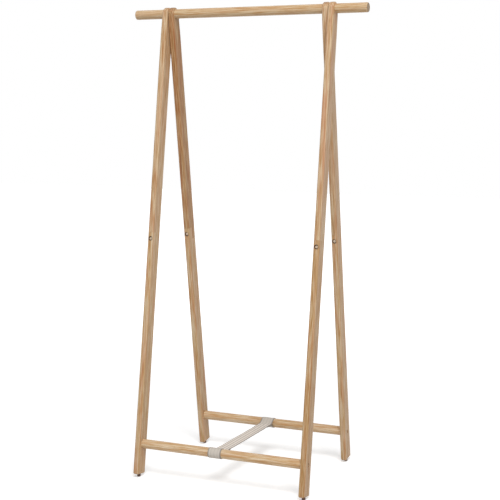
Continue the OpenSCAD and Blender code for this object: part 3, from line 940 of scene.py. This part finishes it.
@dataclass
class SpacerStrap:
    """The webbing that stops the rack open: round both stretchers, its ends folded back and sewn.

    One path is followed by one section. Seen from the left, it starts at the front tail's cut end
    under the strap, goes to the front stretcher, round it from below, over to the rear stretcher,
    round that from above, and back under the strap to the rear tail's cut end.

    Attributes:
        width, thickness: Size of the webbing. All lengths are in metres.
        front_x, rear_x: Its middle's place along the bar at the two stretchers.
        clearance: Space between the webbing and the wood.
        reach: From a stretcher's axis to where the tail meets the strap.
        sewn: Length of a tail that is sewn on.
        settle: Length over which the strap comes down from a tail to its own level.
        ribs, rib_height: Number of lengthwise ribs, and how far they stand out.
        section_steps: Points across one face of the section.
        crowding: How far those points crowd towards the selvedges, from 0 to 1.
        wrap_steps: Points round a stretcher.
        step: Spacing of the points along the rest of the path.
        soften: Steps to either side over which a corner is softened.
        stitch, stitch_gap: Length of a stitch, and of the space between two.
        stitch_inset, stitch_margin: From the seam to the sewn length's ends, and to the selvedge.
        thread_radius, thread_sides: Size of the thread, and its number of sides.
        thread_rings: Places of its rings, as shares of half a stitch.
        webbing, thread: Finishes of the cloth and of the seams.
    """

    width: float = 0.045
    thickness: float = 0.0018
    front_x: float = -0.016
    rear_x: float = -0.012
    clearance: float = 0.00005
    reach: float = 0.026
    sewn: float = 0.036
    settle: float = 0.024
    ribs: int = 4
    rib_height: float = 0.00022
    section_steps: int = 45
    crowding: float = 0.35
    wrap_steps: int = 120
    step: float = 0.002
    soften: int = 3
    stitch: float = 0.0034
    stitch_gap: float = 0.0012
    stitch_inset: float = 0.004
    stitch_margin: float = 0.0045
    thread_radius: float = 0.00034
    thread_sides: int = 6
    thread_rings: tuple[float, ...] = (-0.92, -0.55, 0.55, 0.92)
    webbing: CottonWebbing = field(default_factory=CottonWebbing)
    thread: SewingThread = field(default_factory=SewingThread)

    def __post_init__(self) -> None:
        """Reads where the stretchers are, and works out where the webbing leaves them.

        The strap's middle runs from a point at the reach, half its thickness off the level of the
        stretcher's axis, and touches the circle round the stretcher: the touching point's angle is
        the way to that point plus the arc cosine of the radius over its distance.
        """
        front_low, front_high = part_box("front_stretcher")
        rear_low, rear_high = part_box("rear_stretcher")
        front, rear = (front_low + front_high) / 2, (rear_low + rear_high) / 2
        half = self.thickness / 2
        self.front = np.array([front.y, front.z])
        self.rear = np.array([rear.y, rear.z])
        self.radius = (front_high.z - front_low.z) / 2 + self.clearance + half
        away = math.hypot(self.reach, half)
        self.leave = math.atan2(half, self.reach) + math.acos(self.radius / away)
        self.leave_y = (
            self.front[0] + self.radius * math.cos(self.leave),
            self.rear[0] - self.radius * math.cos(self.leave),
        )

    def build(self) -> None:
        """Makes the four pieces and puts them on their bodies."""
        cloth = self.webbing.material(self.width, self.ribs)
        front_loop = self._band("webbing_round_front_stretcher", [self._wrap(self.front, 1)])
        rear_loop = self._band("webbing_round_rear_stretcher", [self._wrap(self.rear, -1)])
        span = self._band("webbing_between_stretchers", [
            self._tail(1), self._span(), self._tail(-1),
        ])
        seams = self._stitches()
        for piece, node, body in (
            (front_loop, "front_strap_loop", Body.FRONT),
            (span, "strap_span", Body.FRONT),
            (rear_loop, "rear_strap_loop", Body.REAR),
        ):
            dress(piece, cloth)
            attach(piece, body.value)
            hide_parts(node)
            log.info("%s: %d faces", piece.name, len(piece.data.polygons))
        dress(seams, self.thread.material())
        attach(seams, Body.FRONT.value)
        log.info("%s: %d faces", seams.name, len(seams.data.polygons))
        self._crumple(span)
        self._crumple(seams)

    def _middle_x(self, y: np.ndarray) -> np.ndarray:
        """Place of the strap's middle along the bar: straight from one stretcher to the other."""
        share = np.clip((y - self.leave_y[0]) / (self.leave_y[1] - self.leave_y[0]), 0.0, 1.0)
        return self.front_x + (self.rear_x - self.front_x) * share

    def _wrap(self, axis: np.ndarray, side: int) -> np.ndarray:
        """Path round a stretcher: an arc from one leaving point, round the far side, to the other.

        Args:
            axis: The stretcher's axis as (y, z).
            side: 1 at the front, followed from below, and -1 at the rear, followed from above.

        Returns:
            Points (y, z), one a row.
        """
        angle = np.linspace(math.tau - self.leave, self.leave, self.wrap_steps)[::side]
        return axis + self.radius * np.stack([side * np.cos(angle), np.sin(angle)], axis=1)

    def _tail(self, side: int) -> np.ndarray:
        """Path of a folded-back end: from its cut end to the front stretcher, or from the rear one.

        Args:
            side: 1 at the front and -1 at the rear.

        Returns:
            Points (y, z), one a row.
        """
        axis = self.front if side == 1 else self.rear
        low = -self.thickness / 2
        corners = np.array([
            [side * (self.reach + self.sewn), low],
            [side * self.reach, low],
            [side * self.radius * math.cos(self.leave), -self.radius * math.sin(self.leave)],
        ])
        return self._rounded(axis + corners[::side])

    def _span(self) -> np.ndarray:
        """Path of the strap's free length, on top of both tails and level between them.

        Returns:
            Points (y, z), one a row.
        """
        rise = [self.radius * math.cos(self.leave), self.radius * math.sin(self.leave)]
        high = self.thickness / 2
        half = np.array([
            rise,
            [self.reach, high],
            [self.reach + self.sewn, high],
            [self.reach + self.sewn + self.settle, 0.0],
        ])
        return self._rounded(np.vstack([self.front + half, self.rear + (half * [-1, 1])[::-1]]))

    def _rounded(self, corners: np.ndarray) -> np.ndarray:
        """Turns corner points into a soft path: even steps, each the mean of its neighbours.

        The mean is weighted by a raised cosine, and each end is carried on as its own mirror image.

        Args:
            corners: Points (y, z) of the path's corners.

        Returns:
            Points (y, z) with the same two ends.
        """
        lengths = self._run(corners)
        along = np.linspace(0.0, lengths[-1], int(lengths[-1] / self.step) + 2)
        path = np.stack([np.interp(along, lengths, corners[:, k]) for k in (0, 1)], axis=1)
        before = 2 * path[0] - path[self.soften:0:-1]
        after = 2 * path[-1] - path[-2:-self.soften - 2:-1]
        padded = np.vstack([before, path, after])
        weights = np.hanning(2 * self.soften + 3)[1:-1]
        weights /= weights.sum()
        return np.stack([np.convolve(padded[:, k], weights, mode="valid") for k in (0, 1)], axis=1)

    def _run(self, path: np.ndarray) -> np.ndarray:
        """Length of a path up to each of its points: the running sum of the steps."""
        return np.concatenate([[0.0], np.cumsum(np.linalg.norm(np.diff(path, axis=0), axis=1))])

    def _section(self) -> tuple[np.ndarray, np.ndarray]:
        """Section of the webbing: half its thickness, less a cosine's dip between the ribs.

        At the selvedges, within half the thickness, it is round: times the root of 1 less the
        square of the share that is left.

        Returns:
            Places across and heights of a closed outline, over the top and back underneath.
        """
        half = self.width / 2
        turn = np.linspace(-math.pi / 2, math.pi / 2, self.section_steps)
        even = np.linspace(-half, half, self.section_steps)
        across = half * np.sin(turn) * self.crowding + even * (1 - self.crowding)
        edge = np.clip((half - np.abs(across)) / (self.thickness / 2), 0.0, 1.0)
        dip = 0.5 + 0.5 * np.cos(math.tau * self.ribs * (across + half) / self.width)
        height = (self.thickness / 2 - self.rib_height * dip) * np.sqrt(1 - (1 - edge) ** 2)
        return (
            np.concatenate([across, across[-2:0:-1]]),
            np.concatenate([height, -height[-2:0:-1]]),
        )

    def _band(self, name: str, paths: Sequence[np.ndarray]) -> bpy.types.Object:
        """Carries the section along each path.

        A point is the path's point, moved along the bar by its place across, and by its height
        along the path's normal, which is the path's direction turned a quarter turn upwards.

        Args:
            name: The piece's name.
            paths: Paths of points (y, z).

        Returns:
            One closed shell a path, in one object.
        """
        across, height = self._section()
        around = len(across)
        points, uvs, faces, start = [], [], [], 0
        for path in paths:
            heading = np.gradient(path, axis=0)
            heading /= np.linalg.norm(heading, axis=1, keepdims=True)
            normal = np.stack([-heading[:, 1], heading[:, 0]], axis=1)
            x = self._middle_x(path[:, :1]) + across
            y = path[:, :1] + normal[:, :1] * height
            z = path[:, 1:] + normal[:, 1:] * height
            u, v = np.broadcast_arrays(across + self.width / 2, self._run(path)[:, None])
            points.append(np.stack([x, y, z], axis=-1).reshape(-1, 3))
            uvs.append(np.stack([u, v], axis=-1).reshape(-1, 2))
            faces += self._shell(len(path), around, start)
            start += len(path) * around
        return mesh_piece(name, np.concatenate(points), faces, np.concatenate(uvs))

    def _shell(self, stations: int, around: int, start: int) -> list[list[int]]:
        """Faces of a closed band: quads from ring to ring, and from top to underside at each end.

        Args:
            stations: Number of rings.
            around: Points in a ring.
            start: Number of the first point.

        Returns:
            Point numbers of each face, seen from outside.
        """
        ring = np.arange(around)
        base = start + around * np.arange(stations - 1)[:, None]
        here, nxt = base + ring, base + np.roll(ring, -1)
        sides = np.stack([here, nxt, nxt + around, here + around], axis=-1).reshape(-1, 4)
        top = np.arange(self.section_steps - 1)
        under = (around - np.arange(self.section_steps)) % around
        cap = np.stack([top, under[:-1], under[1:], top + 1], axis=-1)
        first, last = cap + start, cap[:, ::-1] + start + around * (stations - 1)
        ends = [list(dict.fromkeys(face)) for face in np.concatenate([first, last]).tolist()]
        return sides.tolist() + ends

    def _stitches(self) -> bpy.types.Object:
        """Makes the seams: a box of stitches on both faces of each sewn end.

        Returns:
            One object with all the stitches.
        """
        pitch = self.stitch + self.stitch_gap
        half = self.width / 2 - self.stitch_margin
        near = self.reach + self.stitch_inset
        far = self.reach + self.sewn - self.stitch_inset
        lengthwise = np.arange(near, far, pitch) + pitch / 2
        crosswise = np.arange(-half, half - pitch / 2, pitch) + pitch / 2
        rows = [(np.full_like(lengthwise, u), lengthwise, (0.0, 1.0)) for u in (-half, half)]
        rows += [(crosswise, np.full_like(crosswise, a), (1.0, 0.0)) for a in (near, far)]
        across = np.concatenate([r[0] for r in rows])
        away = np.concatenate([r[1] for r in rows])
        way = np.concatenate([np.tile(r[2], (len(r[0]), 1)) for r in rows])
        centres, ways = [], []
        for axis, side in ((self.front, 1), (self.rear, -1)):
            y = axis[0] + side * away
            for face in (1, -1):
                z = np.full_like(y, axis[1] + face * (self.thickness - self.rib_height / 2))
                centres.append(np.stack([self._middle_x(y) + across, y, z], axis=1))
                ways.append(way)
        return self._capsules("stitches_of_webbing", np.concatenate(centres), np.concatenate(ways))

    def _capsules(self, name: str, centres: np.ndarray, ways: np.ndarray) -> bpy.types.Object:
        """Makes one small round-ended thread at each centre.

        A ring at the share t of the half length, from -1 to 1, has the radius r times
        the square root of 1 less t to the fourth, and the two poles are single points.

        Args:
            name: The piece's name.
            centres: Middle of each thread.
            ways: Level direction (x, y) in which each lies.

        Returns:
            One object with all of them.
        """
        sides = self.thread_sides
        share = np.array(self.thread_rings)
        ring, after = np.arange(sides), np.roll(np.arange(sides), -1)
        angle = ring * math.tau / sides
        radius = self.thread_radius * np.sqrt(1 - share ** 4)
        along = np.concatenate([[-1.0], np.repeat(share, sides), [1.0]]) * self.stitch / 2
        side = np.pad((radius[:, None] * np.cos(angle)).ravel(), 1)
        rise = np.pad((radius[:, None] * np.sin(angle)).ravel(), 1)
        x = centres[:, :1] + ways[:, :1] * along - ways[:, 1:] * side
        y = centres[:, 1:2] + ways[:, 1:] * along + ways[:, :1] * side
        z = centres[:, 2:] + rise
        points = np.stack([x, y, z], axis=-1).reshape(-1, 3)

        pole = len(along) - 1
        rows = 1 + sides * np.arange(len(share) - 1)[:, None]
        here, beside = rows + ring, rows + after
        quads = np.stack([beside, beside + sides, here + sides, here], axis=-1).reshape(-1, 4)
        first = np.stack([np.zeros(sides, int), 1 + after, 1 + ring], axis=1)
        last = np.stack([np.full(sides, pole), pole - sides + ring, pole - sides + after], axis=1)
        starts = len(along) * np.arange(len(centres))[:, None, None]
        faces = (starts + quads).reshape(-1, 4).tolist()
        faces += (starts + first).reshape(-1, 3).tolist() + (starts + last).reshape(-1, 3).tolist()
        return mesh_piece(name, points, faces)

    def _crumple(self, piece: bpy.types.Object) -> None:
        """Gives a piece of the free length its own copy of its mesh.

        Args:
            piece: The piece, with its final mesh.
        """
        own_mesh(piece)


@dataclass
class Studio:
    """Camera, lamp, world and floor.

    Attributes:
        eye: Place of the camera in metres.
        yaw_deg, dip_deg, roll_deg: Its turn to the left, downwards and round its own axis.
        lens_mm, sensor_mm: Its lens and the width of its sensor.
        key_place, key_aim: Where the lamp hangs and where it points.
        key_size, key_watts: Its side in metres and its power.
        world_strength: Strength of the fill light.
        floor: Finish of the floor.
        floor_reach: From the floor's middle to its edges in metres.
    """

    eye: Point = (1.57234, -3.49215, 1.18271)
    yaw_deg: float = 24.127
    dip_deg: float = 6.785
    roll_deg: float = 0.064
    lens_mm: float = 85.919
    sensor_mm: float = 36.0
    key_place: Point = (1.9, -3.35, 5.4)
    key_aim: Point = (0.0, 0.0, 0.75)
    key_size: float = 3.2
    key_watts: float = 305.0
    world_strength: float = 0.34
    floor: StudioFloor = field(default_factory=StudioFloor)
    floor_reach: float = 12.0

    def build(self) -> None:
        """Sets the stage."""
        self._camera()
        self._key()
        self._world()
        self._floor()
        bpy.context.scene.view_settings.view_transform = "Standard"
        log.info("studio: camera, key lamp, world and floor")

    def _camera(self) -> None:
        """Stands the camera where the photograph's was."""
        data = bpy.data.cameras.new("camera")
        data.lens = self.lens_mm
        data.sensor_width = self.sensor_mm
        camera = bpy.data.objects.new("camera", data)
        camera.matrix_world = (
            Matrix.Translation(self.eye)
            @ Matrix.Rotation(math.radians(self.yaw_deg), 4, "Z")
            @ Matrix.Rotation(math.radians(90 - self.dip_deg), 4, "X")
            @ Matrix.Rotation(math.radians(self.roll_deg), 4, "Z")
        )
        bpy.context.scene.collection.objects.link(camera)
        bpy.context.scene.camera = camera

    def _key(self) -> None:
        """Hangs one large soft lamp in front, to the right and above."""
        data = bpy.data.lights.new("key", "AREA")
        data.shape = "SQUARE"
        data.size = self.key_size
        data.energy = self.key_watts
        key = bpy.data.objects.new("key", data)
        aim = Vector(self.key_aim) - Vector(self.key_place)
        turn = aim.to_track_quat("-Z", "Y").to_matrix().to_4x4()
        key.matrix_world = Matrix.Translation(self.key_place) @ turn
        bpy.context.scene.collection.objects.link(key)

    def _world(self) -> None:
        """Fills the shadows softly, and is white to what looks at it."""
        world = bpy.data.worlds.new("studio")
        world.use_nodes = True
        bpy.context.scene.world = world
        tree = world.node_tree
        tree.nodes.clear()
        strength = add_node(tree, "ShaderNodeMapRange", {
            "Value": seen_directly(tree), "To Min": self.world_strength, "To Max": 1.0,
        }).outputs[0]
        background = add_node(tree, "ShaderNodeBackground", {
            "Strength": strength, "Color": (1.0, 1.0, 1.0, 1.0),
        })
        output = add_node(tree, "ShaderNodeOutputWorld")
        tree.links.new(background.outputs[0], output.inputs[0])

    def _floor(self) -> None:
        """Lays the paper."""
        corners = self.floor_reach * np.array([[-1, -1, 0], [1, -1, 0], [1, 1, 0], [-1, 1, 0]])
        floor = mesh_piece("studio_floor", corners, [[0, 1, 2, 3]])
        dress(floor, self.floor.material())


def front_frame(woods: Mapping[str, LacqueredRubberwood]) -> LegFrame:
    """Chooses the boards of the outer legs and their stretcher.

    Args:
        woods: Finish of the wood, by a word in a node's name.

    Returns:
        The front frame.
    """
    run = GrainRun.DOWN_FRONT_LEG
    return LegFrame("front", {
        "left_upper_leg": Board(run, (-0.262, -0.03, 0.9), warmth=0.45, blush=0.35, vein=0.25),
        "right_upper_leg": Board(run, (0.262, -0.16, 0.8), warmth=0.35, blush=0.5, vein=0.25),
        "left_lower_leg": Board(
            run, (-0.25, -0.12, 0.3), warmth=0.5, blush=0.4, vein=0.3,
            bore=(-0.286, -0.12438, 0.76394),
        ),
        "right_lower_leg": Board(
            run, (0.255, -0.19, 0.3), warmth=0.6, blush=0.3, vein=0.4, depth=1.15,
            bore=(0.286, -0.12438, 0.76394),
        ),
        "stretcher": Board(
            GrainRun.ALONG_BAR, (0.1, -0.23, 0.085), warmth=0.75, blush=0.15, vein=0.3,
        ),
    }, woods)


def rear_frame(woods: Mapping[str, LacqueredRubberwood]) -> LegFrame:
    """Chooses the boards of the inner legs, which turn on the bar, and their stretcher.

    Args:
        woods: Finish of the wood, by a word in a node's name.

    Returns:
        The rear frame.
    """
    run = GrainRun.DOWN_REAR_LEG
    return LegFrame("rear", {
        "left_upper_leg": Board(
            run, (-0.29, 0.10, 0.9), warmth=0.6, blush=0.3, vein=0.45, depth=1.3,
            scar=(-0.266, 0.048, 1.0),
        ),
        "right_upper_leg": Board(run, (0.285, 0.11, 0.8), warmth=0.45, blush=0.3, vein=0.25),
        "left_lower_leg": Board(
            run, (-0.245, 0.2, 0.3), warmth=0.6, blush=0.4, vein=0.3,
            bore=(-0.2654, 0.09075, 0.75895),
        ),
        "right_lower_leg": Board(
            run, (0.275, 0.2, 0.3), warmth=0.5, blush=0.4, vein=0.3,
            bore=(0.2654, 0.09075, 0.75895),
        ),
        "stretcher": Board(
            GrainRun.ALONG_BAR, (-0.1, 0.23, 0.12), warmth=0.8, blush=0.2, vein=0.25,
        ),
    }, woods)


def main() -> None:
    """Builds and dresses the rack."""
    logging.basicConfig(level=logging.INFO, format="%(message)s")
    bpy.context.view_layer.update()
    Studio().build()
    steel = ZincPlatedSteel().material()
    plastic = MouldedPolyethylene().material()
    woods = {
        "bar": LacqueredRubberwood(
            pale="#CCB593", tan="#BC9D76", honey="#AE814F", end_grain="#7C664E",
        ),
        "upper": LacqueredRubberwood(),
        "lower": LacqueredRubberwood(pale="#CCB698", tan="#BB9B6F", honey="#A67946"),
        "stretcher": LacqueredRubberwood(pale="#DFCBAE", tan="#CEB18A", honey="#BB8E5C"),
    }
    HangingBar(woods["bar"]).finish(steel)
    for leg_frame in (front_frame(woods), rear_frame(woods)):
        leg_frame.finish(steel, plastic)
    SpacerStrap().build()


if __name__ == "__main__":
    main()
